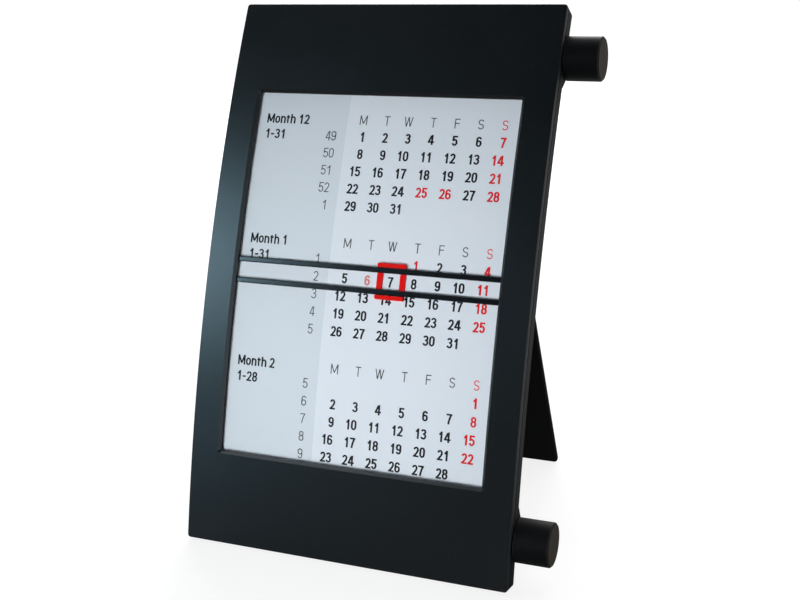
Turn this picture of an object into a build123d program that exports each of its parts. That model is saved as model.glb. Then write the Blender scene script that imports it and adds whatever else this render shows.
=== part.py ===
# Desk calendar: a printed band winds between two rollers behind a curved frame on a fold-out leg.
# Millimetres. X runs to the right, Y to the back, Z up from the desk.
# Places on the curved case are given as arc, the length along the face from its bottom edge,
# and depth, the distance behind the face.
import os
from math import acos, atan2, cos, hypot, radians, sin

from build123d import *

# Curved case
panel_width = 114.8
panel_arc = 187.6
face_radius = 616.0
base_lean = 12.9
case_depth = 7.4
cover_depth = 4.8
seam = 0.25
seam_chamfer = 0.35
wall = 2.0
face_skin = 1.4
back_skin = 1.6
corner_radius = 1.1
face_edge_radius = 0.4
back_edge_chamfer = 0.4
rest_depth = 6.0
rest_trim = 0.3

# Window
stile_width = 10.75
bottom_border = 31.6
top_border = 32.1
window_corner = 0.5
rim_chamfer = 0.9

# Layers behind the window
slide_gap = 0.1
lay_gap = 0.03
rail_thickness = 0.8
cursor_thickness = 0.5
band_thickness = 0.12
guide_thickness = 1.2
band_margin = 2.0
guide_margin = 7.5
guide_side_gap = 0.4
guide_edge_radius = 0.4

# Rollers
roller_inset = 15.3
journal_radius = 1.8
roller_shoulder = 0.4
roller_end_play = 0.4
upper_paper_build = 0.9
lower_paper_build = 1.9
winding_room = 0.5
winding_gap = 0.3
lobe_wall = 1.2
flare_run = 10.5
bush_wall = 0.95
bush_cover = 2.45
bush_flange_width = 0.8
bush_flange_thickness = 0.5
bush_end_wall = 0.6
running_clearance = 0.05
seat_clearance = 0.02

# Knobs
knob_radius = 7.15
knob_length = 11.5
knob_gap = 0.4
knob_end_chamfer = 0.5
knob_recess_room = 0.7
knob_recess_depth = 1.2
knob_end_wall = 2.3
brake_ring_room = 0.3
brake_ring_gap = 0.05

# Date carriage
carriage_arc = 93.8
rail_height = 1.8
rail_edge_radius = 0.35
rail_pitch = 7.2
rail_end_wall = 1.6
slider_overhang = 3.1
cursor_place = 9.33
cursor_width = 10.05
cursor_lip = 1.4
cursor_side = 2.0
cursor_corner_radius = 0.6
cursor_edge_chamfer = 0.2

# Leg
hinge_arc = 126.0
hinge_stand = 3.4
leg_lean = 23.0
leg_top_width = 90.8
leg_flare = 2.4
leg_thickness = 2.0
leg_corner_radius = 1.5
leg_edge_chamfer = 0.4
barrel_radius = 2.4
ear_radius = 2.6
ear_width = 5.0
ear_gap = 0.3
ear_base = 4.8
ear_root = 0.4
hinge_pin_radius = 1.0
stop_gap = 0.05
heel_width = 60.0

# Fastening
screw_side_inset = 7.0
screw_end_inset = 5.4
screw_radius = 1.0
screw_head_radius = 1.9
screw_head_height = 0.9
screw_length = 6.4
screw_hole_clearance = 0.1
screw_tip_room = 0.2
boss_radius = 2.3
rib_thickness = 1.6
rib_spacing = 32.0
rib_count = 4
rib_end_gap = 3.0
inner_root = 0.3

half_width = panel_width / 2
inner_half = half_width - wall
window_half = half_width - stile_width
window_bottom = bottom_border
window_top = panel_arc - top_border
lean = radians(base_lean)

# The origin is on the flat that the case rests on, so the arc's centre follows from it
rest_angle = lean + rest_trim / face_radius
centre_y = (face_radius - rest_depth) * cos(rest_angle)
centre_z = -(face_radius - rest_depth) * sin(rest_angle)

shell_depth = case_depth - cover_depth
rail_front = face_skin + slide_gap
rail_back = rail_front + rail_thickness
cursor_front = rail_back + slide_gap
cursor_back = cursor_front + cursor_thickness
band_front = cursor_back + slide_gap
band_back = band_front + band_thickness
guide_front = band_back + lay_gap
guide_back = guide_front + guide_thickness
cover_front = shell_depth + seam
cover_inside = case_depth - back_skin

guide_bottom = window_bottom - guide_margin
guide_top = window_top + guide_margin
guide_half = inner_half - guide_side_gap
band_half = window_half + band_margin

bush_radius = journal_radius + running_clearance + bush_wall
bush_flange_radius = bush_radius + bush_flange_width
roller_radius = journal_radius + roller_shoulder
roller_depth = cover_front + bush_cover + bush_radius
lower_roller_arc = roller_inset
upper_roller_arc = panel_arc - roller_inset
upper_winding_radius = roller_radius + upper_paper_build
lower_winding_radius = roller_radius + lower_paper_build
chamber_radius = max(upper_winding_radius, lower_winding_radius) + winding_room
lobe_radius = chamber_radius + lobe_wall
knob_recess_radius = bush_flange_radius + knob_recess_room
knob_bore_depth = knob_length - knob_end_wall
brake_ring_radius = knob_recess_radius - brake_ring_room

slider_length = rail_pitch + rail_height + 2 * slider_overhang

hinge_depth = case_depth + hinge_stand
ear_inner = leg_top_width / 2 + ear_gap
ear_outer = ear_inner + ear_width
leg_foot_half = leg_top_width / 2 + leg_flare
tilt = radians(leg_lean)


def at(arc, depth):
    """Point (Y, Z) of the side view at this length along the face and this depth behind it."""
    angle = lean + arc / face_radius
    radius = face_radius - depth
    return (centre_y - radius * cos(angle), centre_z + radius * sin(angle))


def tangent_point(point, centre, radius, turn):
    """Where a line from the point touches the circle; turn +1 or -1 picks the side."""
    dy = point[0] - centre[0]
    dz = point[1] - centre[1]
    angle = atan2(dz, dy) + turn * acos(radius / hypot(dy, dz))
    return (centre[0] + radius * cos(angle), centre[1] + radius * sin(angle))


def curved_strip(arc_from, arc_to, depth_from, depth_to):
    """Side-view face between two arcs and two depths, for the sketch that is open."""
    middle = (arc_from + arc_to) / 2
    with BuildLine() as outline:
        ThreePointArc(at(arc_from, depth_from), at(middle, depth_from), at(arc_to, depth_from))
        Line(at(arc_to, depth_from), at(arc_to, depth_to))
        ThreePointArc(at(arc_to, depth_to), at(middle, depth_to), at(arc_from, depth_to))
        Line(at(arc_from, depth_to), at(arc_from, depth_from))
    make_face(outline.edges())


def curved_block(arcs, depths, x_from, x_to, mode=Mode.ADD):
    """Block of the curved case between two arcs, two depths and two X places, for the open part."""
    with BuildSketch(Plane.YZ.offset(x_from)) as profile:
        curved_strip(*arcs, *depths)
    extrude(profile.sketch, amount=x_to - x_from, mode=mode)


def face_plane(x, arc, depth):
    """Plane that lies in the case at this place, with its normal pointing to the back."""
    angle = lean + arc / face_radius
    y, z = at(arc, depth)
    return Plane(origin=(x, y, z), x_dir=(1, 0, 0), z_dir=(0, cos(angle), -sin(angle)))


def across(centre, x):
    """Plane square to X at this place of the side view, with its normal along X."""
    return Plane(origin=(x, *centre), x_dir=(0, 1, 0), z_dir=(1, 0, 0))


def round_bar(centre, radius, x_from, x_to, mode=Mode.ADD):
    """Bar along X about this point of the side view, for the open part."""
    with BuildSketch(across(centre, x_from)) as profile:
        Circle(radius)
    extrude(profile.sketch, amount=x_to - x_from, mode=mode)


def arc_radius(shape):
    """Distance of a face or edge from the far axis that the case is curved about."""
    middle = shape.center()
    return hypot(middle.Y - centre_y, middle.Z - centre_z)


def depth_edges(part, length):
    """Straight edges that run from front to back at the corners of a block of the case."""
    return part.edges().filter_by(GeomType.LINE).filter_by(lambda edge: abs(edge.length - length) < 0.01)


screw_arcs = [screw_end_inset, panel_arc - screw_end_inset]
screw_places = [(side * (half_width - screw_side_inset), arc) for side in (-1, 1) for arc in screw_arcs]
lower_axis = at(lower_roller_arc, roller_depth)
upper_axis = at(upper_roller_arc, roller_depth)
hinge_axis = at(hinge_arc, hinge_depth)
axes = {"upper": upper_axis, "lower": lower_axis}


# Front frame: shallow shell with the window
with BuildPart() as window_cut:
    cut_over = face_edge_radius
    curved_block((window_bottom, window_top), (-cut_over, face_skin + cut_over), -window_half, window_half)
    fillet(depth_edges(window_cut, face_skin + 2 * cut_over), window_corner)

with BuildPart() as front_frame:
    curved_block((0, panel_arc), (0, shell_depth), -half_width, half_width)
    fillet(depth_edges(front_frame, shell_depth), corner_radius)
    face = front_frame.faces().filter_by(GeomType.CYLINDER).sort_by(SortBy.AREA)[-1]
    fillet(face.edges(), face_edge_radius)
    seam_face = front_frame.faces().filter_by(GeomType.CYLINDER).sort_by(arc_radius)[0]
    chamfer(seam_face.edges(), seam_chamfer)
    curved_block((wall, panel_arc - wall), (face_skin, shell_depth), -inner_half, inner_half, Mode.SUBTRACT)
    with Locations(*[face_plane(x, arc, shell_depth) for x, arc in screw_places]):
        boss_height = shell_depth - face_skin + inner_root
        Cylinder(boss_radius, boss_height, align=(Align.CENTER, Align.CENTER, Align.MAX))
        boss_hole = screw_length + screw_tip_room - (case_depth - shell_depth)
        Hole(screw_radius + seat_clearance, depth=boss_hole)
    add(window_cut.part, mode=Mode.SUBTRACT)
    face = front_frame.faces().filter_by(GeomType.CYLINDER).sort_by(SortBy.AREA)[-1]
    chamfer(face.inner_wires()[0].edges(), rim_chamfer)
front_frame.part.label = "front_frame"


# Back cover: second shell with a round housing for each roller and the ears of the leg hinge
with BuildPart() as back_cover:
    curved_block((0, panel_arc), (cover_front, case_depth), -half_width, half_width)
    fillet(depth_edges(back_cover, case_depth - cover_front), corner_radius)
    back = back_cover.faces().filter_by(GeomType.CYLINDER).sort_by(SortBy.AREA)[-2:].sort_by(Axis.Y)[-1]
    chamfer(back.edges(), back_edge_chamfer)
    for roller_arc, run, turn in ((lower_roller_arc, flare_run, -1), (upper_roller_arc, -flare_run, 1)):
        axis = at(roller_arc, roller_depth)
        foot = at(roller_arc + run, case_depth)
        round_bar(axis, lobe_radius, -half_width, half_width)
        with BuildSketch(Plane.YZ.offset(-half_width)):
            with BuildLine():
                Polyline(
                    foot,
                    tangent_point(foot, axis, lobe_radius, turn),
                    axis,
                    at(roller_arc, cover_inside),
                    at(roller_arc + run, cover_inside),
                    close=True,
                )
            make_face()
        extrude(amount=panel_width)
    above = (cover_front - lobe_radius, cover_front)
    curved_block((-wall, panel_arc + wall), above, -half_width, half_width, Mode.SUBTRACT)
    inside = (cover_front, cover_inside)
    curved_block((wall, panel_arc - wall), inside, -inner_half, inner_half, Mode.SUBTRACT)
    for axis in axes.values():
        round_bar(axis, chamber_radius, -inner_half, inner_half, Mode.SUBTRACT)
        round_bar(axis, bush_radius + seat_clearance, -half_width, half_width, Mode.SUBTRACT)
    for number in range(rib_count):
        rib_x = (number - (rib_count - 1) / 2) * rib_spacing
        curved_block(
            (guide_bottom + rib_end_gap, guide_top - rib_end_gap),
            (guide_back + lay_gap, cover_inside + inner_root),
            rib_x - rib_thickness / 2,
            rib_x + rib_thickness / 2,
        )
    boss_front = shell_depth + seat_clearance
    with Locations(*[face_plane(x, arc, boss_front) for x, arc in screw_places]):
        boss_height = cover_inside + inner_root - boss_front
        Cylinder(boss_radius, boss_height, align=(Align.CENTER, Align.CENTER, Align.MIN))
    for side in (-1, 1):
        with BuildSketch(Plane.YZ.offset(side * (ear_inner + ear_width / 2))):
            with Locations(hinge_axis):
                Circle(ear_radius)
            ear_low = at(hinge_arc - ear_base, case_depth - ear_root)
            ear_high = at(hinge_arc + ear_base, case_depth - ear_root)
            with BuildLine():
                Polyline(
                    ear_low,
                    ear_high,
                    tangent_point(ear_high, hinge_axis, ear_radius, -1),
                    hinge_axis,
                    tangent_point(ear_low, hinge_axis, ear_radius, 1),
                    close=True,
                )
            make_face()
        extrude(amount=ear_width / 2, both=True)
    round_bar(hinge_axis, hinge_pin_radius + seat_clearance, -ear_outer, ear_outer, Mode.SUBTRACT)
    with Locations(*[face_plane(x, arc, case_depth) for x, arc in screw_places]):
        hole_radius = screw_radius + screw_hole_clearance
        CounterSinkHole(hole_radius, screw_head_radius + seat_clearance, depth=case_depth - shell_depth)
    split(bisect_by=Plane.XY, keep=Keep.TOP)
back_cover.part.label = "back_cover"


# Paper guide: thin curved plate behind the band
with BuildPart() as paper_guide:
    curved_block((guide_bottom, guide_top), (guide_front, guide_back), -guide_half, guide_half)
    guide_ends = paper_guide.edges().filter_by(Axis.X).group_by(SortBy.LENGTH)[-1]
    fillet(guide_ends, guide_edge_radius)
paper_guide.part.label = "paper_guide"


# Calendar band: the run in the window and its two stretches to the windings
with BuildPart() as calendar_band:
    lower_turn = lower_winding_radius + winding_gap
    upper_turn = upper_winding_radius + winding_gap
    band_middle = (guide_bottom + guide_top) / 2
    bend_front = [at(arc, band_front) for arc in (guide_bottom, band_middle, guide_top)]
    bend_back = [at(arc, band_back) for arc in (guide_bottom, band_middle, guide_top)]
    with BuildSketch(Plane.YZ.offset(-band_half)):
        with BuildLine():
            low_back = tangent_point(bend_back[0], lower_axis, lower_turn, 1)
            low_front = tangent_point(bend_front[0], lower_axis, lower_turn + band_thickness, 1)
            high_back = tangent_point(bend_back[2], upper_axis, upper_turn, -1)
            high_front = tangent_point(bend_front[2], upper_axis, upper_turn + band_thickness, -1)
            Line(low_back, bend_back[0])
            ThreePointArc(*bend_back)
            Polyline(bend_back[2], high_back, high_front, bend_front[2])
            ThreePointArc(*reversed(bend_front))
            Polyline(bend_front[0], low_front, low_back)
        make_face()
    extrude(amount=2 * band_half)
calendar_band.part.label = "calendar_band"


# Rollers: shaft, paper winding, knob, brake ring and bearing bushes, once above and once below
def make_shaft(axis):
    """Shaft whose journals run in the bushes; the right journal carries the knob."""
    with BuildPart() as shaft:
        body_end = inner_half - roller_end_play
        round_bar(axis, roller_radius, -body_end, body_end)
        round_bar(axis, journal_radius, bush_end_wall - half_width + roller_end_play, 0)
        round_bar(axis, journal_radius, 0, half_width + knob_gap + knob_bore_depth - roller_end_play)
    return shaft.part


def make_winding(axis, radius):
    """Paper wound on the shaft, as wide as the band."""
    with BuildPart() as winding:
        round_bar(axis, radius, -band_half, band_half)
        round_bar(axis, roller_radius + seat_clearance, -band_half, band_half, Mode.SUBTRACT)
    return winding.part


def make_knob(axis):
    """Plain round knob with a chamfered end and a recess that clears the bush flange."""
    inner_face = half_width + knob_gap
    with BuildPart() as knob:
        round_bar(axis, knob_radius, inner_face, inner_face + knob_length)
        chamfer(knob.edges().sort_by(Axis.X)[-1], knob_end_chamfer)
        round_bar(axis, knob_recess_radius, inner_face, inner_face + knob_recess_depth, Mode.SUBTRACT)
        bore_to = inner_face + knob_bore_depth
        round_bar(axis, journal_radius + seat_clearance, inner_face, bore_to, Mode.SUBTRACT)
    return knob.part


def make_brake_ring(axis):
    """Felt ring between the bush flange and the floor of the knob's recess."""
    ring_from = half_width + bush_flange_thickness + brake_ring_gap
    ring_to = half_width + knob_gap + knob_recess_depth - brake_ring_gap
    with BuildPart() as ring:
        round_bar(axis, brake_ring_radius, ring_from, ring_to)
        round_bar(axis, journal_radius + seat_clearance, ring_from, ring_to, Mode.SUBTRACT)
    return ring.part


def make_bush(axis, side):
    """Flanged bush in the side wall: open on the knob's side, closed on the other."""
    with BuildPart() as bush:
        outer = side * half_width
        round_bar(axis, bush_radius, side * inner_half, outer)
        round_bar(axis, bush_flange_radius, outer, outer + side * bush_flange_thickness)
        bore_end = outer + side * bush_flange_thickness if side > 0 else outer - side * bush_end_wall
        round_bar(axis, journal_radius + running_clearance, side * inner_half, bore_end, Mode.SUBTRACT)
    return bush.part


roller_pieces = []
winding_radii = {"upper": upper_winding_radius, "lower": lower_winding_radius}
for place, axis in axes.items():
    made = {
        "roller_shaft": make_shaft(axis),
        "paper_winding": make_winding(axis, winding_radii[place]),
        "knob": make_knob(axis),
        "brake_ring": make_brake_ring(axis),
        "left_bush": make_bush(axis, -1),
        "right_bush": make_bush(axis, 1),
    }
    for name, piece in made.items():
        piece.label = f"{place}_{name}"
        roller_pieces.append(piece)


# Date carriage: two rails held by a slider on each side of the window
slider_inner = band_half + guide_side_gap
slider_outer = inner_half - guide_side_gap
rail_half = slider_outer - rail_end_wall


def make_rail(arc):
    """Flat rail across the window with a rounded front, at this arc of its middle."""
    with BuildPart() as rail:
        arcs = (arc - rail_height / 2, arc + rail_height / 2)
        curved_block(arcs, (rail_front, rail_back), -rail_half, rail_half)
        fillet(rail.edges().filter_by(Axis.X).sort_by(arc_radius)[-2:], rail_edge_radius)
    return rail.part


def make_slider(side):
    """Slider that runs behind the frame's stile and holds the rail ends in two slots."""
    with BuildPart() as slider:
        arcs = (carriage_arc - slider_length / 2, carriage_arc + slider_length / 2)
        places = sorted((side * slider_inner, side * slider_outer))
        curved_block(arcs, (rail_front, band_back - slide_gap), *places)
        for end in (-1, 1):
            middle = carriage_arc + end * rail_pitch / 2
            half_slot = rail_height / 2 + seat_clearance
            curved_block(
                (middle - half_slot, middle + half_slot),
                (rail_front, rail_back + seat_clearance),
                *sorted((side * slider_inner, side * (rail_half + seat_clearance))),
                Mode.SUBTRACT,
            )
    return slider.part


upper_rail = make_rail(carriage_arc + rail_pitch / 2)
upper_rail.label = "upper_rail"
lower_rail = make_rail(carriage_arc - rail_pitch / 2)
lower_rail.label = "lower_rail"
left_slider = make_slider(-1)
left_slider.label = "left_slider"
right_slider = make_slider(1)
right_slider.label = "right_slider"


# Date cursor: small frame behind the rails, with a lip outside each rail
with BuildPart() as date_cursor:
    cursor_from = cursor_place - cursor_width / 2
    cursor_to = cursor_place + cursor_width / 2
    lip_inner = rail_pitch / 2 + rail_height / 2 + slide_gap
    cursor_half = lip_inner + cursor_lip
    arcs = (carriage_arc - cursor_half, carriage_arc + cursor_half)
    curved_block(arcs, (rail_front, cursor_back), cursor_from, cursor_to)
    fillet(depth_edges(date_cursor, cursor_back - rail_front), cursor_corner_radius)
    cursor_face = date_cursor.faces().sort_by(arc_radius)[-1]
    chamfer(cursor_face.edges(), cursor_edge_chamfer)
    arcs = (carriage_arc - lip_inner, carriage_arc + lip_inner)
    curved_block(arcs, (0, cursor_front), cursor_from, cursor_to, Mode.SUBTRACT)
    hole = (cursor_from + cursor_side, cursor_to - cursor_side)
    curved_block(arcs, (cursor_front, cursor_back), *hole, Mode.SUBTRACT)
date_cursor.part.label = "date_cursor"


# Stand leg: plate on a barrel, with a heel that stops against the back cover
leg_plane = Plane(origin=(0, *hinge_axis), x_dir=(1, 0, 0), z_dir=(0, cos(tilt), sin(tilt)))
foot_drop = sin(tilt) * (leg_thickness / 2 - leg_edge_chamfer)
leg_length = (hinge_axis[1] - foot_drop) / cos(tilt)
opening_angle = tilt + lean + hinge_arc / face_radius
heel = (hinge_stand - stop_gap - cos(opening_angle) * leg_thickness / 2) / sin(opening_angle)
with BuildPart() as stand_leg:
    with BuildSketch(leg_plane):
        with BuildLine():
            Polyline(
                (-leg_top_width / 2, 0),
                (leg_top_width / 2, 0),
                (leg_foot_half, leg_length),
                (-leg_foot_half, leg_length),
                close=True,
            )
        plate = make_face()
        fillet(plate.vertices().group_by(Axis.Y)[-1], leg_corner_radius)
    extrude(amount=leg_thickness / 2, both=True)
    plate_faces = stand_leg.faces().filter_by(leg_plane)
    chamfer(plate_faces.edges(), leg_edge_chamfer)
    with BuildSketch(leg_plane):
        with Locations((0, -heel / 2)):
            Rectangle(heel_width, heel)
    extrude(amount=leg_thickness / 2, both=True)
    round_bar(hinge_axis, barrel_radius, -leg_top_width / 2, leg_top_width / 2)
    bore = hinge_pin_radius + running_clearance
    round_bar(hinge_axis, bore, -ear_outer, ear_outer, Mode.SUBTRACT)
stand_leg.part.label = "stand_leg"

with BuildPart() as hinge_pin:
    round_bar(hinge_axis, hinge_pin_radius, -ear_outer, ear_outer)
hinge_pin.part.label = "hinge_pin"


# Cover screws: four countersunk screws from the back
with BuildPart() as cover_screws:
    with Locations(*[face_plane(x, arc, case_depth) for x, arc in screw_places]):
        Cylinder(screw_radius, screw_length, align=(Align.CENTER, Align.CENTER, Align.MAX))
        Cone(
            screw_radius,
            screw_head_radius,
            screw_head_height,
            align=(Align.CENTER, Align.CENTER, Align.MAX),
        )
cover_screws.part.label = "cover_screws"


built = [front_frame, back_cover, paper_guide, calendar_band]
built += [date_cursor, stand_leg, hinge_pin, cover_screws]
pieces = [builder.part for builder in built]
pieces += roller_pieces
pieces += [upper_rail, lower_rail, left_slider, right_slider]

os.makedirs("parts", exist_ok=True)
for piece in pieces:
    export_step(piece, f"parts/{piece.label}.step")
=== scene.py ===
import math

import bmesh
import bpy
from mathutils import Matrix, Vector


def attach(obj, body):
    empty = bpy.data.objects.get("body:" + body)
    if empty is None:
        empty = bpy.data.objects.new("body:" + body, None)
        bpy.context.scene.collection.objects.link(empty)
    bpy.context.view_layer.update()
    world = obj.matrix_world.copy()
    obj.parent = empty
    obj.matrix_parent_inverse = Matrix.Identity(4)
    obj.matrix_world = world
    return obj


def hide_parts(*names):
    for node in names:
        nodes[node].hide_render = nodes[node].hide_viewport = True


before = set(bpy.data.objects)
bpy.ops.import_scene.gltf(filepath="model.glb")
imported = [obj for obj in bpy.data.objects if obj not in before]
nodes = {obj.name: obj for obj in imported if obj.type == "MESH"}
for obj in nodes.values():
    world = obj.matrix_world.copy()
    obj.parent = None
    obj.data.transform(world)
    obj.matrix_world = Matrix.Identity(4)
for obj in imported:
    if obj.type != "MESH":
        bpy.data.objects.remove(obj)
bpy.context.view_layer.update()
scene = bpy.context.scene
print("frame loaded:", len(nodes), "nodes")


# camera where the photograph was taken from
photoView = {"place": (0.15653, -0.32969, 0.20678), "turn": (72.150, 1.748, 21.609),
             "lens": 55.46, "sensor": 36, "nearest": 0.01}
cameraData = bpy.data.cameras.new("photoCamera")
cameraData.sensor_width = photoView["sensor"]
cameraData.lens = photoView["lens"]
cameraData.clip_start = photoView["nearest"]
camera = bpy.data.objects.new("photoCamera", cameraData)
camera.location = photoView["place"]
camera.rotation_euler = [math.radians(angle) for angle in photoView["turn"]]
scene.collection.objects.link(camera)
scene.camera = camera
print("camera set")


# small helpers for node trees
def addNode(tree, kind, values=None, **settings):
    node = tree.nodes.new(kind)
    for name, value in settings.items():
        setattr(node, name, value)
    for socket, value in (values or {}).items():
        node.inputs[socket].default_value = value
    return node


def addMath(tree, operation, first, second=None):
    node = addNode(tree, "ShaderNodeMath", operation=operation)
    for socket, value in zip(node.inputs, (first, second)):
        if isinstance(value, (int, float)):
            socket.default_value = value
        elif value is not None:
            tree.links.new(value, socket)
    return node.outputs[0]


def blendColour(tree, amount, first, second, mode="MIX"):
    node = addNode(tree, "ShaderNodeMix", data_type="RGBA", blend_type=mode)
    for socket, value in ((node.inputs[0], amount), (node.inputs[6], first), (node.inputs[7], second)):
        if hasattr(value, "is_linked"):
            tree.links.new(value, socket)
        elif isinstance(value, (int, float)):
            socket.default_value = value
        else:
            socket.default_value = (*value, 1)
    return node.outputs[2]


def newGroup(name, inputs, outputs):
    tree = bpy.data.node_groups.new(name, "ShaderNodeTree")
    for label, kind, value in inputs:
        socket = tree.interface.new_socket(label, in_out="INPUT", socket_type=kind)
        socket.default_value = value
    for label, kind in outputs:
        tree.interface.new_socket(label, in_out="OUTPUT", socket_type=kind)
    return tree, tree.nodes.new("NodeGroupInput"), tree.nodes.new("NodeGroupOutput")


# shared effects, each one a node group
effects = {"edgeContrast": 5.0, "speckLevel": 0.62, "dustColour": (0.30, 0.30, 0.29),
           "edgePolish": 0.08, "sideFocus": 4.0, "grainHeight": 0.00004}

# fine spark-eroded grain of a moulding tool, with soft larger waves
mouldGrain, given, result = newGroup(
    "mouldGrain",
    [("Scale", "NodeSocketFloat", 4200.0), ("Waviness", "NodeSocketFloat", 0.25)],
    [("Height", "NodeSocketFloat"), ("Patch", "NodeSocketFloat")],
)
place = addNode(mouldGrain, "ShaderNodeTexCoord")
grainNoise = addNode(mouldGrain, "ShaderNodeTexNoise", {"Detail": 3.0, "Roughness": 0.6})
waveNoise = addNode(mouldGrain, "ShaderNodeTexNoise", {"Scale": 75.0, "Detail": 2.0})
patchNoise = addNode(mouldGrain, "ShaderNodeTexNoise", {"Scale": 28.0, "Detail": 5.0, "Roughness": 0.62})
for noise in (grainNoise, waveNoise, patchNoise):
    mouldGrain.links.new(place.outputs["Object"], noise.inputs["Vector"])
mouldGrain.links.new(given.outputs["Scale"], grainNoise.inputs["Scale"])
waves = addMath(mouldGrain, "MULTIPLY", waveNoise.outputs["Fac"], given.outputs["Waviness"])
mouldGrain.links.new(addMath(mouldGrain, "ADD", grainNoise.outputs["Fac"], waves), result.inputs["Height"])
mouldGrain.links.new(patchNoise.outputs["Fac"], result.inputs["Patch"])

# rubbed edges: where the rounded normal leaves the true one, broken up by noise
rubbedEdge, given, result = newGroup(
    "rubbedEdge",
    [("Reach", "NodeSocketFloat", 0.0006), ("Break Up", "NodeSocketFloat", 350.0)],
    [("Mask", "NodeSocketFloat")],
)
place = addNode(rubbedEdge, "ShaderNodeTexCoord")
softNormal = addNode(rubbedEdge, "ShaderNodeBevel", samples=4)
trueNormal = addNode(rubbedEdge, "ShaderNodeNewGeometry")
compare = addNode(rubbedEdge, "ShaderNodeVectorMath", operation="DOT_PRODUCT")
edgeNoise = addNode(rubbedEdge, "ShaderNodeTexNoise", {"Detail": 4.0, "Roughness": 0.7})
rubbedEdge.links.new(given.outputs["Reach"], softNormal.inputs["Radius"])
rubbedEdge.links.new(softNormal.outputs["Normal"], compare.inputs[0])
rubbedEdge.links.new(trueNormal.outputs["Normal"], compare.inputs[1])
rubbedEdge.links.new(place.outputs["Object"], edgeNoise.inputs["Vector"])
rubbedEdge.links.new(given.outputs["Break Up"], edgeNoise.inputs["Scale"])
bent = addMath(rubbedEdge, "SUBTRACT", 1.0, compare.outputs["Value"])
bent = addMath(rubbedEdge, "MULTIPLY", bent, effects["edgeContrast"])
broken = addMath(rubbedEdge, "MULTIPLY", bent, edgeNoise.outputs["Fac"])
rubbedEdge.links.new(addMath(rubbedEdge, "MINIMUM", broken, 1.0), result.inputs["Mask"])

# light dust on faces that look up
restingDust, given, result = newGroup(
    "restingDust",
    [("Amount", "NodeSocketFloat", 0.2)],
    [("Mask", "NodeSocketFloat")],
)
place = addNode(restingDust, "ShaderNodeTexCoord")
dustNormal = addNode(restingDust, "ShaderNodeNewGeometry")
dustAxes = addNode(restingDust, "ShaderNodeSeparateXYZ")
dustNoise = addNode(restingDust, "ShaderNodeTexNoise", {"Scale": 900.0, "Detail": 5.0, "Roughness": 0.75})
restingDust.links.new(dustNormal.outputs["Normal"], dustAxes.inputs[0])
restingDust.links.new(place.outputs["Object"], dustNoise.inputs["Vector"])
upward = addMath(restingDust, "MAXIMUM", dustAxes.outputs["Z"], 0.0)
speck = addMath(restingDust, "GREATER_THAN", dustNoise.outputs["Fac"], effects["speckLevel"])
dust = addMath(restingDust, "MULTIPLY", upward, speck)
dust = addMath(restingDust, "MULTIPLY", dust, given.outputs["Amount"])
restingDust.links.new(dust, result.inputs["Mask"])

# paper fibres: long thin noise in two directions
paperFibre, given, result = newGroup(
    "paperFibre",
    [("Scale", "NodeSocketFloat", 2600.0)],
    [("Height", "NodeSocketFloat"), ("Cloud", "NodeSocketFloat")],
)
place = addNode(paperFibre, "ShaderNodeTexCoord")
fibres = []
for stretch in ((1.0, 0.25, 0.25), (0.2, 1.0, 1.0)):
    lay = addNode(paperFibre, "ShaderNodeMapping", {"Scale": stretch})
    noise = addNode(paperFibre, "ShaderNodeTexNoise", {"Detail": 3.0, "Roughness": 0.65})
    paperFibre.links.new(place.outputs["Object"], lay.inputs["Vector"])
    paperFibre.links.new(lay.outputs["Vector"], noise.inputs["Vector"])
    paperFibre.links.new(given.outputs["Scale"], noise.inputs["Scale"])
    fibres.append(noise.outputs["Fac"])
cloudNoise = addNode(paperFibre, "ShaderNodeTexNoise", {"Scale": 22.0, "Detail": 4.0})
paperFibre.links.new(place.outputs["Object"], cloudNoise.inputs["Vector"])
paperFibre.links.new(addMath(paperFibre, "ADD", *fibres), result.inputs["Height"])
paperFibre.links.new(cloudNoise.outputs["Fac"], result.inputs["Cloud"])
print("shared effects built")


def newMaterial(name, **plain):
    material = bpy.data.materials.new(name)
    material.use_nodes = True
    tree = material.node_tree
    shader = tree.nodes["Principled BSDF"]
    for socket, value in plain.items():
        shader.inputs[socket].default_value = value
    return material, tree, shader


def placeGroup(tree, group, values):
    return addNode(tree, "ShaderNodeGroup", values, node_tree=group)


def bumpFrom(tree, shader, height, strength, distance):
    bump = addNode(tree, "ShaderNodeBump", {"Strength": strength, "Distance": distance})
    tree.links.new(height, bump.inputs["Height"])
    tree.links.new(bump.outputs["Normal"], shader.inputs["Normal"])


def rangeOf(tree, value, low, high):
    node = addNode(tree, "ShaderNodeMapRange", {"To Min": low, "To Max": high})
    tree.links.new(value, node.inputs["Value"])
    return node.outputs["Result"]


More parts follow.
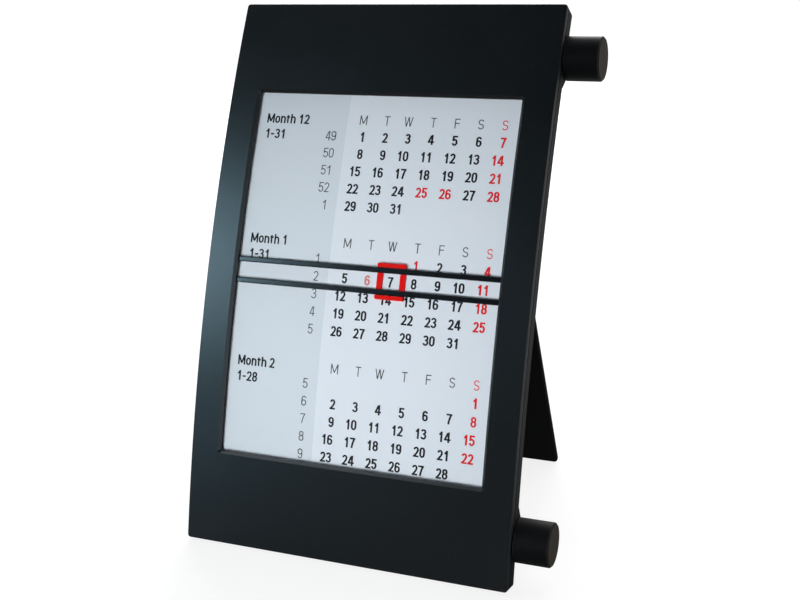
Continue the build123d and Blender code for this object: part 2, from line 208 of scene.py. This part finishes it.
# moulded plastic in several finishes; faces that look along X are rougher, and where a look gives an ends
# colour they get a painted highlight, lighter and warmer, in place of the light they catch
def mouldedPlastic(name, look):
    material, tree, shader = newMaterial(name, **{"Specular IOR Level": look["shine"]})
    grain = placeGroup(tree, mouldGrain, {"Scale": look["grain"], "Waviness": look["waves"]})
    edge = placeGroup(tree, rubbedEdge, {"Reach": look["edgeReach"]})
    dusty = placeGroup(tree, restingDust, {"Amount": look["dust"]})
    colour = blendColour(tree, grain.outputs["Patch"], look["deep"], look["pale"])
    colour = blendColour(tree, edge.outputs["Mask"], colour, look["rubbed"])
    colour = blendColour(tree, dusty.outputs["Mask"], colour, effects["dustColour"])
    facing = addNode(tree, "ShaderNodeNewGeometry")
    facingAxes = addNode(tree, "ShaderNodeSeparateXYZ")
    tree.links.new(facing.outputs["True Normal"], facingAxes.inputs[0])
    sideways = addMath(tree, "ABSOLUTE", facingAxes.outputs["X"])
    sideways = addMath(tree, "POWER", sideways, effects["sideFocus"])
    # painted highlight: faces that look along X take the lighter, warmer ends colour, as if lit
    if "ends" in look:
        colour = blendColour(tree, sideways, colour, look["ends"])
    tree.links.new(colour, shader.inputs["Base Color"])
    rough = rangeOf(tree, grain.outputs["Patch"], *look["rough"])
    polish = addMath(tree, "MULTIPLY", edge.outputs["Mask"], effects["edgePolish"])
    rough = addMath(tree, "SUBTRACT", rough, polish)
    rough = addMath(tree, "ADD", rough, addMath(tree, "MULTIPLY", sideways, look["sideRough"]))
    tree.links.new(rough, shader.inputs["Roughness"])
    bumpFrom(tree, shader, grain.outputs["Height"], look["bump"], effects["grainHeight"])
    return material


casePlastic = mouldedPlastic("satinCasePlastic", {
    "deep": (0.0024, 0.0029, 0.0034), "pale": (0.0047, 0.0056, 0.0065), "rubbed": (0.010, 0.012, 0.014),
    "rough": (0.29, 0.36), "shine": 0.6, "grain": 5200.0, "waves": 0.3, "bump": 0.12,
    "edgeReach": 0.0005, "dust": 0.06, "sideRough": 0.35})
coverPlastic = mouldedPlastic("mattCoverPlastic", {
    "deep": (0.0040, 0.0046, 0.0052), "pale": (0.0085, 0.0095, 0.0105), "rubbed": (0.022, 0.024, 0.026),
    "rough": (0.44, 0.56), "shine": 0.3, "grain": 3600.0, "waves": 0.35, "bump": 0.26,
    "edgeReach": 0.0005, "dust": 0.10, "sideRough": 0.2})
legPlastic = mouldedPlastic("mattLegPlastic", {
    "deep": (0.0042, 0.0045, 0.0050), "pale": (0.0085, 0.0090, 0.0098), "rubbed": (0.020, 0.021, 0.022),
    "rough": (0.46, 0.58), "shine": 0.10, "grain": 3600.0, "waves": 0.35, "bump": 0.26,
    "edgeReach": 0.0005, "dust": 0.06, "sideRough": 0.2})
# the knob's ends colour is a painted highlight on its end faces
knobPlastic = mouldedPlastic("knobPlastic", {
    "deep": (0.0030, 0.0032, 0.0034), "pale": (0.0075, 0.0078, 0.0080), "rubbed": (0.030, 0.028, 0.026),
    "rough": (0.46, 0.56), "shine": 0.07, "grain": 4600.0, "waves": 0.2, "bump": 0.16,
    "edgeReach": 0.0007, "dust": 0.03, "sideRough": 0.2, "ends": (0.085, 0.076, 0.062)})
railPlastic = mouldedPlastic("glossRailPlastic", {
    "deep": (0.0030, 0.0038, 0.0046), "pale": (0.0060, 0.0075, 0.0090), "rubbed": (0.018, 0.022, 0.026),
    "rough": (0.16, 0.26), "shine": 0.5, "grain": 6000.0, "waves": 0.5, "bump": 0.08,
    "edgeReach": 0.0003, "dust": 0.06, "sideRough": 0.0})
cursorPlastic = mouldedPlastic("redCursorPlastic", {
    "deep": (0.76, 0.003, 0.002), "pale": (0.86, 0.006, 0.004), "rubbed": (0.92, 0.03, 0.02),
    "rough": (0.29, 0.38), "shine": 0.12, "grain": 5200.0, "waves": 0.4, "bump": 0.08,
    "edgeReach": 0.0003, "dust": 0.03, "sideRough": 0.0})
guidePlastic = mouldedPlastic("guidePlastic", {
    "deep": (0.09, 0.09, 0.09), "pale": (0.14, 0.14, 0.14), "rubbed": (0.2, 0.2, 0.2),
    "rough": (0.45, 0.6), "shine": 0.5, "grain": 3600.0, "waves": 0.3, "bump": 0.2,
    "edgeReach": 0.0004, "dust": 0.05, "sideRough": 0.0})
rollerPlastic = mouldedPlastic("rollerPlastic", {
    "deep": (0.20, 0.20, 0.20), "pale": (0.27, 0.27, 0.27), "rubbed": (0.34, 0.34, 0.34),
    "rough": (0.38, 0.5), "shine": 0.5, "grain": 3600.0, "waves": 0.3, "bump": 0.2,
    "edgeReach": 0.0004, "dust": 0.05, "sideRough": 0.0})
bushPlastic = mouldedPlastic("bushPlastic", {
    "deep": (0.62, 0.61, 0.57), "pale": (0.74, 0.73, 0.69), "rubbed": (0.8, 0.79, 0.76),
    "rough": (0.30, 0.42), "shine": 0.5, "grain": 3600.0, "waves": 0.3, "bump": 0.12,
    "edgeReach": 0.0003, "dust": 0.03, "sideRough": 0.0})


# felt of the brake rings
def feltCloth(name, look):
    material, tree, shader = newMaterial(name, **{"Roughness": look["rough"], "Sheen Weight": look["sheen"]})
    fibre = placeGroup(tree, paperFibre, {"Scale": look["fibre"]})
    tone = rangeOf(tree, fibre.outputs["Height"], *look["fade"])
    tree.links.new(blendColour(tree, tone, look["deep"], look["pale"]), shader.inputs["Base Color"])
    bumpFrom(tree, shader, fibre.outputs["Height"], look["bump"], look["pile"])
    return material


brakeFelt = feltCloth("brakeFelt", {
    "deep": (0.04, 0.04, 0.04), "pale": (0.11, 0.11, 0.11), "fade": (0.0, 0.6), "fibre": 1800.0,
    "rough": 0.95, "sheen": 0.4, "bump": 0.8, "pile": 0.0002})


# bright steel with fine drawn lines along the pin
def drawnSteel(name, look):
    material, tree, shader = newMaterial(name, **{"Metallic": 1.0})
    place = addNode(tree, "ShaderNodeTexCoord")
    lay = addNode(tree, "ShaderNodeMapping", {"Scale": look["stretch"]})
    lines = addNode(tree, "ShaderNodeTexNoise", {"Scale": look["lines"], "Detail": 5.0, "Roughness": 0.7})
    tree.links.new(place.outputs["Object"], lay.inputs["Vector"])
    tree.links.new(lay.outputs["Vector"], lines.inputs["Vector"])
    colour = blendColour(tree, lines.outputs["Fac"], look["deep"], look["pale"])
    tree.links.new(colour, shader.inputs["Base Color"])
    tree.links.new(rangeOf(tree, lines.outputs["Fac"], *look["rough"]), shader.inputs["Roughness"])
    bumpFrom(tree, shader, lines.outputs["Fac"], look["bump"], look["groove"])
    return material


plainSteel = drawnSteel("plainSteel", {
    "deep": (0.40, 0.40, 0.41), "pale": (0.62, 0.62, 0.63), "rough": (0.29, 0.44),
    "lines": 1500.0, "stretch": (0.08, 1.0, 1.0), "bump": 0.2, "groove": 0.00003})


# printed paper: faint fibres, with a tinted column under the week numbers
def printedPaper(name, look):
    material, tree, shader = newMaterial(name, **{"Specular IOR Level": look["shine"]})
    fibre = placeGroup(tree, paperFibre, {"Scale": look["fibre"]})
    place = addNode(tree, "ShaderNodeTexCoord")
    axes = addNode(tree, "ShaderNodeSeparateXYZ")
    tree.links.new(place.outputs["Object"], axes.inputs[0])
    tinted = addMath(tree, "LESS_THAN", axes.outputs["X"], look["tintEdge"])
    sheet = blendColour(tree, fibre.outputs["Cloud"], look["deep"], look["pale"])
    tint = blendColour(tree, fibre.outputs["Cloud"], look["tintDeep"], look["tintPale"])
    tree.links.new(blendColour(tree, tinted, sheet, tint), shader.inputs["Base Color"])
    tree.links.new(rangeOf(tree, fibre.outputs["Height"], *look["rough"]), shader.inputs["Roughness"])
    bumpFrom(tree, shader, fibre.outputs["Height"], look["bump"], look["tooth"])
    return material


bandPaper = printedPaper("bandPaper", {
    "pale": (0.832, 0.868, 0.935), "deep": (0.80, 0.838, 0.905),
    "tintPale": (0.735, 0.785, 0.845), "tintDeep": (0.71, 0.76, 0.82),
    "tintEdge": -0.0135, "fibre": 2600.0, "shine": 0.25, "rough": (0.45, 0.62),
    "bump": 0.12, "tooth": 0.00003})


# printing ink, a little uneven as it lies on the paper
inkFilm = {"shine": 0.3, "fibre": 5200.0, "rough": (0.38, 0.6), "bump": 0.08, "tooth": 0.00002}


def printInk(name, deep, pale):
    material, tree, shader = newMaterial(name, **{"Specular IOR Level": inkFilm["shine"]})
    fibre = placeGroup(tree, paperFibre, {"Scale": inkFilm["fibre"]})
    tree.links.new(blendColour(tree, fibre.outputs["Cloud"], deep, pale), shader.inputs["Base Color"])
    tree.links.new(rangeOf(tree, fibre.outputs["Height"], *inkFilm["rough"]), shader.inputs["Roughness"])
    bumpFrom(tree, shader, fibre.outputs["Height"], inkFilm["bump"], inkFilm["tooth"])
    return material


inkBlack = printInk("inkBlack", (0.004, 0.004, 0.006), (0.012, 0.012, 0.015))
inkGrey = printInk("inkGrey", (0.035, 0.040, 0.048), (0.060, 0.065, 0.074))
inkRed = printInk("inkRed", (0.70, 0.005, 0.008), (0.82, 0.010, 0.012))
inkPaleRed = printInk("inkPaleRed", (0.72, 0.20, 0.19), (0.80, 0.27, 0.25))

nodeFinish = {
    "front_frame": casePlastic, "back_cover": coverPlastic, "stand_leg": legPlastic,
    "upper_knob": knobPlastic, "lower_knob": knobPlastic,
    "left_slider": casePlastic, "right_slider": casePlastic,
    "upper_rail": railPlastic, "lower_rail": railPlastic, "date_cursor": cursorPlastic,
    "paper_guide": guidePlastic, "calendar_band": bandPaper,
    "hinge_pin": plainSteel, "cover_screws": plainSteel,
}
for end in ("upper", "lower"):
    nodeFinish[end + "_roller_shaft"] = rollerPlastic
    nodeFinish[end + "_paper_winding"] = bandPaper
    nodeFinish[end + "_brake_ring"] = brakeFelt
    nodeFinish[end + "_left_bush"] = bushPlastic
    nodeFinish[end + "_right_bush"] = bushPlastic
for name, finish in nodeFinish.items():
    slots = nodes[name].data.materials
    slots.clear()
    slots.append(finish)
print("finishes on", len(nodeFinish), "nodes")


# the curved face, as in the CAD: arc runs up the face, depth goes behind it
curve = {"radius": 0.616, "lean": math.radians(12.9), "restDepth": 0.006, "restTrim": 0.0003}
restAngle = curve["lean"] + curve["restTrim"] / curve["radius"]
curve["y"] = (curve["radius"] - curve["restDepth"]) * math.cos(restAngle)
curve["z"] = -(curve["radius"] - curve["restDepth"]) * math.sin(restAngle)


def onCurve(x, arc, depth):
    angle = curve["lean"] + arc / curve["radius"]
    reach = curve["radius"] - depth
    return Vector((x, curve["y"] - reach * math.cos(angle), curve["z"] + reach * math.sin(angle)))


def pieceFrom(sheet, name, finish):
    bmesh.ops.recalc_face_normals(sheet, faces=sheet.faces)
    mesh = bpy.data.meshes.new(name)
    sheet.to_mesh(mesh)
    sheet.free()
    mesh.materials.append(finish)
    piece = bpy.data.objects.new(name, mesh)
    scene.collection.objects.link(piece)
    return piece


# plain figures drawn as pen strokes in a unit box, 0 to 1 between the outermost pen lines
def bow(centre, size, start, stop, steps=14):
    turns = [math.radians(start + (stop - start) * step / steps) for step in range(steps + 1)]
    return [(centre[0] + size[0] * math.cos(turn), centre[1] + size[1] * math.sin(turn)) for turn in turns]


def ring(low, high, left=0.0, right=1.0, straight=0.2):
    middle = (left + right) / 2
    size = ((right - left) / 2, (high - low) * (1 - straight) / 2)
    top = bow((middle, high - size[1]), size, 0, 180)
    bottom = bow((middle, low + size[1]), size, 180, 360)
    return top + bottom + [top[0]]


def sweep(start, pull, stop, steps=10):
    points = []
    for step in range(steps + 1):
        t = step / steps
        near, mid, far = (1 - t) ** 2, 2 * t * (1 - t), t * t
        points.append(tuple(near * a + mid * b + far * c for a, b, c in zip(start, pull, stop)))
    return points


def turned(strokes):
    return [[(1 - x, 1 - y) for x, y in stroke] for stroke in strokes]


def strokesOf(sign, lo, hi, left, right):
    six = [ring(0, 0.58), [(0, 0.3), (0, 0.62)] + bow((0.5, 0.68), (0.5, 0.32), 180, 22)]
    arch = [(0, 0.42)] + bow((0.5, 0.46), (0.5, 0.26), 180, 0) + [(1, lo)]
    shapes = {
        "0": [ring(0, 1, straight=0.4)],
        "1": [[(0.66, lo), (0.66, hi)], [(0.05, 0.72), (0.34, 0.80), (0.62, 1.0)]],
        "2": [bow((0.5, 0.73), (0.48, 0.27), 172, -18) + sweep((0.94, 0.62), (0.72, 0.36), (0.06, 0.02)),
              [(left, 0), (right, 0)]],
        "3": [bow((0.46, 0.77), (0.48, 0.23), 165, -92), bow((0.46, 0.27), (0.54, 0.27), 92, -166),
              [(0.30, 0.54), (0.52, 0.54)]],
        "4": [[(0.60, 1.0), (0.02, 0.27)], [(left, 0.24), (right + 0.06, 0.24)], [(0.79, lo), (0.79, hi)]],
        "5": [[(0.10, 1), (right - 0.06, 1)], [(0.12, hi), (0.06, 0.47)],
              sweep((0.05, 0.50), (0.20, 0.64), (0.52, 0.63), 6)
              + bow((0.48, 0.315), (0.52, 0.315), 84, -164)],
        "6": six,
        "7": [[(left, 1), (right, 1)], sweep((0.98, 0.98), (0.52, 0.52), (0.36, lo))],
        "8": [ring(0.52, 1, 0.05, 0.95, 0.1), ring(0, 0.53, 0.0, 1.0, 0.12)],
        "9": turned(six),
        "M": [[(0, lo), (0, hi)], [(1, lo), (1, hi)], [(0.02, 1), (0.5, 0.1)], [(0.98, 1), (0.5, 0.1)]],
        "T": [[(left, 1), (right, 1)], [(0.5, lo), (0.5, hi)]],
        "W": [[(0.0, hi), (0.26, lo)], [(0.26, lo), (0.5, hi)],
              [(0.5, hi), (0.74, lo)], [(0.74, lo), (1.0, hi)]],
        "F": [[(0, lo), (0, hi)], [(0, 1), (right, 1)], [(0, 0.53), (right - 0.12, 0.53)]],
        "S": [bow((0.5, 0.75), (0.47, 0.25), 18, 262) + bow((0.5, 0.25), (0.5, 0.25), 84, -162)],
        " ": [],
        "-": [[(left + 0.1, 0.44), (right - 0.1, 0.44)]],
        "o": [ring(0, 0.72, straight=0.2)],
        "n": [[(0, lo), (0, 0.72 - lo)], arch],
        "h": [[(0, lo), (0, hi)], arch],
        "t": [[(0.34, 0.94), (0.34, 0.2)] + bow((0.62, 0.2), (0.28, 0.2), 180, 280),
              [(left, 0.70), (right - 0.1, 0.70)]],
    }
    return shapes[sign]


# a strip along the points, as wide as an upright oval pen
def drawStroke(sheet, points, pen, spot):
    halves = []
    count = len(points)
    closed = points[0] == points[-1]
    for index, point in enumerate(points):
        before = points[index - 1] if index else (points[-2] if closed else None)
        after = points[index + 1] if index + 1 < count else (points[1] if closed else None)
        ends = (before or point, after or point)
        run = Vector((ends[1][0] - ends[0][0], ends[1][1] - ends[0][1])).normalized()
        side = Vector((-run.y * pen[0] ** 2, run.x * pen[1] ** 2))
        side /= math.hypot(run.y * pen[0], run.x * pen[1])
        halves.append([sheet.verts.new(spot(point[0] + s * side.x, point[1] + s * side.y)) for s in (1, -1)])
    for (a, b), (c, d) in zip(halves, halves[1:]):
        sheet.faces.new((a, b, d, c))


# ink lies just off the paper, each stroke over the last
inkLift = {"paperDepth": 0.0030, "first": 0.000012, "step": 0.000003}


def drawText(sheet, text, style, x, arc, alignRight=True):
    high, thick = style["height"], style["pen"]
    widths = [style["width"] * style["wide"].get(sign, 1.0) for sign in text]
    total = sum(widths) + style["gap"] * (len(text) - 1)
    start = x - total if alignRight else x
    for sign, width in zip(text, widths):
        box = (width - 2 * thick[0], high - 2 * thick[1])
        lo, left = -thick[1] / box[1], -thick[0] / box[0]
        for layer, stroke in enumerate(strokesOf(sign, lo, 1 - lo, left, 1 - left)):
            depth = inkLift["paperDepth"] - (inkLift["first"] + layer * inkLift["step"])
            scaled = [(px * box[0], py * box[1]) for px, py in stroke]

            def spot(px, py):
                return onCurve(start + thick[0] + px, arc - high / 2 + thick[1] + py, depth)

            drawStroke(sheet, scaled, thick, spot)
        start += width + style["gap"]


boldFigures = {"height": 0.00340, "width": 0.00194, "gap": 0.00016, "pen": (0.00033, 0.00028),
               "wide": {"4": 1.1}}
fineFigures = {"height": 0.00330, "width": 0.00176, "gap": 0.00026, "pen": (0.00017, 0.00016),
               "wide": {"M": 1.5, "W": 1.75, "T": 1.1, "S": 1.1}}
labelFigures = {"height": 0.00335, "width": 0.00190, "gap": 0.00024, "pen": (0.00030, 0.00026),
                "wide": {"M": 1.45, "t": 0.72, " ": 0.35, "-": 0.7}}
grid = {"firstColumn": -0.00642, "columnPitch": 0.00816, "firstRow": 0.14166, "rowPitch": 0.00593,
        "monthPitch": 0.04199, "headingRise": 0.0058, "weekEdge": -0.0170,
        "labelEdge": -0.0437, "labelDrop": 0.0004, "initials": "MTWTFSS"}
lastColumn = len(grid["initials"]) - 1
months = [
    {"number": 12, "firstColumn": 0, "days": 31, "weeks": (49, 50, 51, 52, 1),
     "red": (25, 26), "paleRed": ()},
    {"number": 1, "firstColumn": 3, "days": 31, "weeks": (1, 2, 3, 4, 5), "red": (1,), "paleRed": (6,)},
    {"number": 2, "firstColumn": 6, "days": 28, "weeks": (5, 6, 7, 8, 9), "red": (), "paleRed": ()},
]
inkFinish = {"dayNumbers": inkBlack, "redNumbers": inkRed, "paleNumber": inkPaleRed,
             "weekNumbers": inkGrey, "monthLabels": inkBlack}
inkSheets = {name: bmesh.new() for name in inkFinish}
for monthIndex, month in enumerate(months):
    topRow = grid["firstRow"] - monthIndex * grid["monthPitch"]
    heading = topRow + grid["headingRise"]
    for column, initial in enumerate(grid["initials"]):
        ink = "redNumbers" if column == lastColumn else "weekNumbers"
        edge = grid["firstColumn"] + column * grid["columnPitch"]
        drawText(inkSheets[ink], initial, fineFigures, edge, heading)
    for row, week in enumerate(month["weeks"]):
        arc = topRow - row * grid["rowPitch"]
        drawText(inkSheets["weekNumbers"], str(week), fineFigures, grid["weekEdge"], arc)
    for day in range(1, month["days"] + 1):
        row, column = divmod(month["firstColumn"] + day - 1, lastColumn + 1)
        ink = "redNumbers" if column == lastColumn or day in month["red"] else "dayNumbers"
        ink = "paleNumber" if day in month["paleRed"] else ink
        edge = grid["firstColumn"] + column * grid["columnPitch"]
        drawText(inkSheets[ink], str(day), boldFigures, edge, topRow - row * grid["rowPitch"])
    labelLines = ((f"Month {month['number']}", heading - grid["labelDrop"]), (f"1-{month['days']}", topRow))
    for line, arc in labelLines:
        drawText(inkSheets["monthLabels"], line, labelFigures, grid["labelEdge"], arc, False)

for name, sheet in inkSheets.items():
    piece = pieceFrom(sheet, name, inkFinish[name])
    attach(piece, "housing")
    print("printed", name, len(piece.data.polygons), "faces")


# screws with a cross recess in place of the plain ones
screw = {"side": 0.0504, "arcs": (0.0054, 0.1822), "depth": 0.0074, "headRadius": 0.0019,
         "headHeight": 0.0009, "radius": 0.0010, "length": 0.0064, "edge": 0.00006,
         "armLength": 0.00105, "armWidth": 0.00024, "recess": 0.0006, "taper": 0.62, "steps": 40}


def crossOutline(scale):
    far, near = screw["armLength"] * scale, screw["armWidth"] * scale
    corner = [(far, -near), (far, near), (near, near)]
    quarters = ((1, 0), (0, 1), (-1, 0), (0, -1))
    return [(x * c - y * s, x * s + y * c) for c, s in quarters for x, y in corner]


def circleOutline(radius):
    turns = [2 * math.pi * step / screw["steps"] for step in range(screw["steps"])]
    return [(radius * math.cos(turn), radius * math.sin(turn)) for turn in turns]


def drawScrew(sheet, x, arc):
    base = onCurve(x, arc, screw["depth"])
    inward = (onCurve(x, arc, 0) - base).normalized()
    across = inward.cross(Vector((1, 0, 0)))

    def loop(outline, sink):
        spots = [base + Vector((a, 0, 0)) + across * b + inward * sink for a, b in outline]
        return [sheet.verts.new(spot) for spot in spots]

    def skin(first, second):
        turnedOn = zip(first, first[1:] + first[:1], second[1:] + second[:1], second)
        return [sheet.faces.new(corners) for corners in turnedOn]

    rim = loop(circleOutline(screw["headRadius"] - screw["edge"]), 0)
    mouth = loop(crossOutline(1), 0)
    borders = [sheet.edges.new(pair) for bound in (rim, mouth) for pair in zip(bound, bound[1:] + bound[:1])]
    bmesh.ops.triangle_fill(sheet, use_beauty=True, edges=borders)
    pit = loop(crossOutline(screw["taper"]), screw["recess"])
    skin(mouth, pit)
    sheet.faces.new(pit)
    outer = loop(circleOutline(screw["headRadius"]), screw["edge"])
    neck = loop(circleOutline(screw["radius"]), screw["headHeight"])
    tip = loop(circleOutline(screw["radius"]), screw["length"])
    for face in skin(rim, outer) + skin(outer, neck) + skin(neck, tip):
        face.smooth = True
    sheet.faces.new(tip)


screwSheet = bmesh.new()
for side in (-1, 1):
    for arc in screw["arcs"]:
        drawScrew(screwSheet, side * screw["side"], arc)
crossScrews = pieceFrom(screwSheet, "crossScrews", plainSteel)
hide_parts("cover_screws")
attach(crossScrews, "housing")
print("screws made:", len(crossScrews.data.polygons), "faces")


# thin dark sheet set back in the seam between the two shells, so that no light shows through it; it stands in
# for the shade inside the seam
seamShade = {"halfWidth": 0.0574, "length": 0.1876, "depths": (0.00261, 0.00284),
        "insets": (0.0008, 0.0016), "steps": 48}
seamShadeMesh = bmesh.new()
seamShadeRows = []
for inset in seamShade["insets"]:
    wide, low, high = seamShade["halfWidth"] - inset, inset, seamShade["length"] - inset
    arcs = [low + (high - low) * step / seamShade["steps"] for step in range(seamShade["steps"] + 1)]
    around = [(-wide, arc) for arc in arcs] + [(wide, arc) for arc in reversed(arcs)]
    for depth in seamShade["depths"]:
        seamShadeRows.append([seamShadeMesh.verts.new(onCurve(x, arc, depth)) for x, arc in around])
outerFront, outerBack, innerFront, innerBack = seamShadeRows
seamShadeLoops = (outerFront, outerBack, innerBack, innerFront)
for one, two in zip(seamShadeLoops, seamShadeLoops[1:] + seamShadeLoops[:1]):
    for corners in zip(one, one[1:] + one[:1], two[1:] + two[:1], two):
        seamShadeMesh.faces.new(corners)
# dark sheet in the seam, standing in for shade there
seamShadeSheet = pieceFrom(seamShadeMesh, "seamShadeSheet", coverPlastic)
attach(seamShadeSheet, "housing")
print("seam sealed:", len(seamShadeSheet.data.polygons), "faces")


# floor and air: both show white to the camera, and the floor keeps the shadow near the part
studio = {"floorSize": 8.0, "floorDrop": 0.00005, "floorColour": (0.21, 0.212, 0.214), "floorRough": 0.9,
          "floorShine": 0.1, "worldColour": (0.029, 0.032, 0.037), "white": (1, 1, 1),
          "nearGlow": 0.85, "farGlow": 1.0, "nearReach": 0.20, "farReach": 0.8,
          "mirrorGlow": 0.5, "mirrorStart": -0.05, "mirrorEnd": 0.25}
floorSheet = bmesh.new()
bmesh.ops.create_grid(floorSheet, x_segments=8, y_segments=8, size=studio["floorSize"])
floorMesh = bpy.data.meshes.new("floor")
floorSheet.to_mesh(floorMesh)
floorSheet.free()
floor = bpy.data.objects.new("floor", floorMesh)
floor.location.z = -studio["floorDrop"]
scene.collection.objects.link(floor)
floorPaint, tree, shader = newMaterial("paleFloor", **{
    "Roughness": studio["floorRough"], "Specular IOR Level": studio["floorShine"],
    "Base Color": (*studio["floorColour"], 1), "Emission Color": (*studio["white"], 1)})
place = addNode(tree, "ShaderNodeTexCoord")
away = addNode(tree, "ShaderNodeVectorMath", operation="LENGTH")
tree.links.new(place.outputs["Object"], away.inputs[0])
glow = addNode(tree, "ShaderNodeMapRange", {
    "From Min": studio["nearReach"], "From Max": studio["farReach"],
    "To Min": studio["nearGlow"], "To Max": studio["farGlow"]}, interpolation_type="SMOOTHSTEP")
tree.links.new(away.outputs["Value"], glow.inputs["Value"])
rays = addNode(tree, "ShaderNodeLightPath")
seen = addMath(tree, "ADD", rays.outputs["Is Camera Ray"], rays.outputs["Is Transmission Ray"])
seen = addMath(tree, "MULTIPLY", seen, glow.outputs["Result"])
along = addNode(tree, "ShaderNodeSeparateXYZ")
tree.links.new(place.outputs["Object"], along.inputs[0])
behind = addNode(tree, "ShaderNodeMapRange", {
    "From Min": studio["mirrorStart"], "From Max": studio["mirrorEnd"], "To Max": studio["mirrorGlow"]})
tree.links.new(along.outputs["Y"], behind.inputs["Value"])
mirrored = addMath(tree, "MULTIPLY", rays.outputs["Is Glossy Ray"], behind.outputs["Result"])
tree.links.new(addMath(tree, "ADD", seen, mirrored), shader.inputs["Emission Strength"])
floorMesh.materials.append(floorPaint)

world = bpy.data.worlds.new("studioAir")
world.use_nodes = True
worldTree = world.node_tree
worldRays = addNode(worldTree, "ShaderNodeLightPath")
worldSeen = blendColour(worldTree, worldRays.outputs["Is Camera Ray"], studio["worldColour"], studio["white"])
worldTree.links.new(worldSeen, worldTree.nodes["Background"].inputs["Color"])
scene.world = world

# lamps; a hidden one lights only by gloss or only by diffuse light
middle = (0, 0.03, 0.09)
lamps = {
    "sheenWindow": {"place": (-0.51, -0.49, 0.35), "aim": middle, "size": (0.28, 0.23), "power": 1.95,
                    "colour": (0.52, 0.83, 1.0), "hidden": "visible_diffuse"},
    "lowSheen": {"place": (-0.62, -0.66, 0.09), "aim": middle, "size": (0.35, 0.12), "power": 0.36,
                 "colour": (0.44, 0.78, 1.0), "hidden": "visible_diffuse"},
    "paperFill": {"place": (-0.045, -0.44, 0.10), "aim": (-0.01, 0.03, 0.076), "size": (0.16, 0.2),
                  "power": 0.2, "spread": 55, "colour": (0.93, 0.985, 1.0), "hidden": "visible_glossy"},
    "frontLow": {"place": (0.15, -0.72, 0.26), "aim": middle, "size": (0.07, 0.55), "power": 0.15,
                 "colour": (1.0, 0.98, 0.96)},
    "bevelTop": {"place": (-0.55, 0.03, 1.1), "aim": middle, "size": (0.4, 0.4), "power": 1.15,
                 "colour": (0.80, 0.92, 1.0)},
    "rimSheen": {"place": (0.74, -0.42, 0.20), "aim": middle, "size": (0.3, 0.4), "power": 1.3,
                 "colour": (0.72, 0.89, 1.0), "hidden": "visible_diffuse"},
    "backFill": {"place": (0.80, 0.60, 0.50), "aim": middle, "size": (0.6, 0.6), "power": 2.8,
                 "colour": (1.0, 0.96, 0.91)},
    "backSheen": {"place": (-0.40, 0.95, 0.50), "aim": middle, "size": (0.9, 0.5), "power": 13.0,
                  "colour": (1.0, 0.98, 0.96)},
    "floorWash": {"place": (0.1, 0.95, 1.35), "aim": (0.1, 0.25, 0), "size": (1.2, 1.2), "power": 11.0,
                  "colour": (1.0, 1.0, 1.0)},
}
for name, lamp in lamps.items():
    light = bpy.data.lights.new(name, "AREA")
    light.shape = "RECTANGLE"
    light.size, light.size_y = lamp["size"]
    light.energy = lamp["power"]
    light.color = lamp["colour"]
    holder = bpy.data.objects.new(name, light)
    holder.location = lamp["place"]
    aim = Vector(lamp["aim"]) - holder.location
    holder.rotation_euler = aim.to_track_quat("-Z", "Y").to_euler()
    if "spread" in lamp:
        light.spread = math.radians(lamp["spread"])
    if "hidden" in lamp:
        setattr(holder, lamp["hidden"], False)
    scene.collection.objects.link(holder)
scene.view_settings.view_transform = "Standard"
print("studio lit with", len(lamps), "lamps")
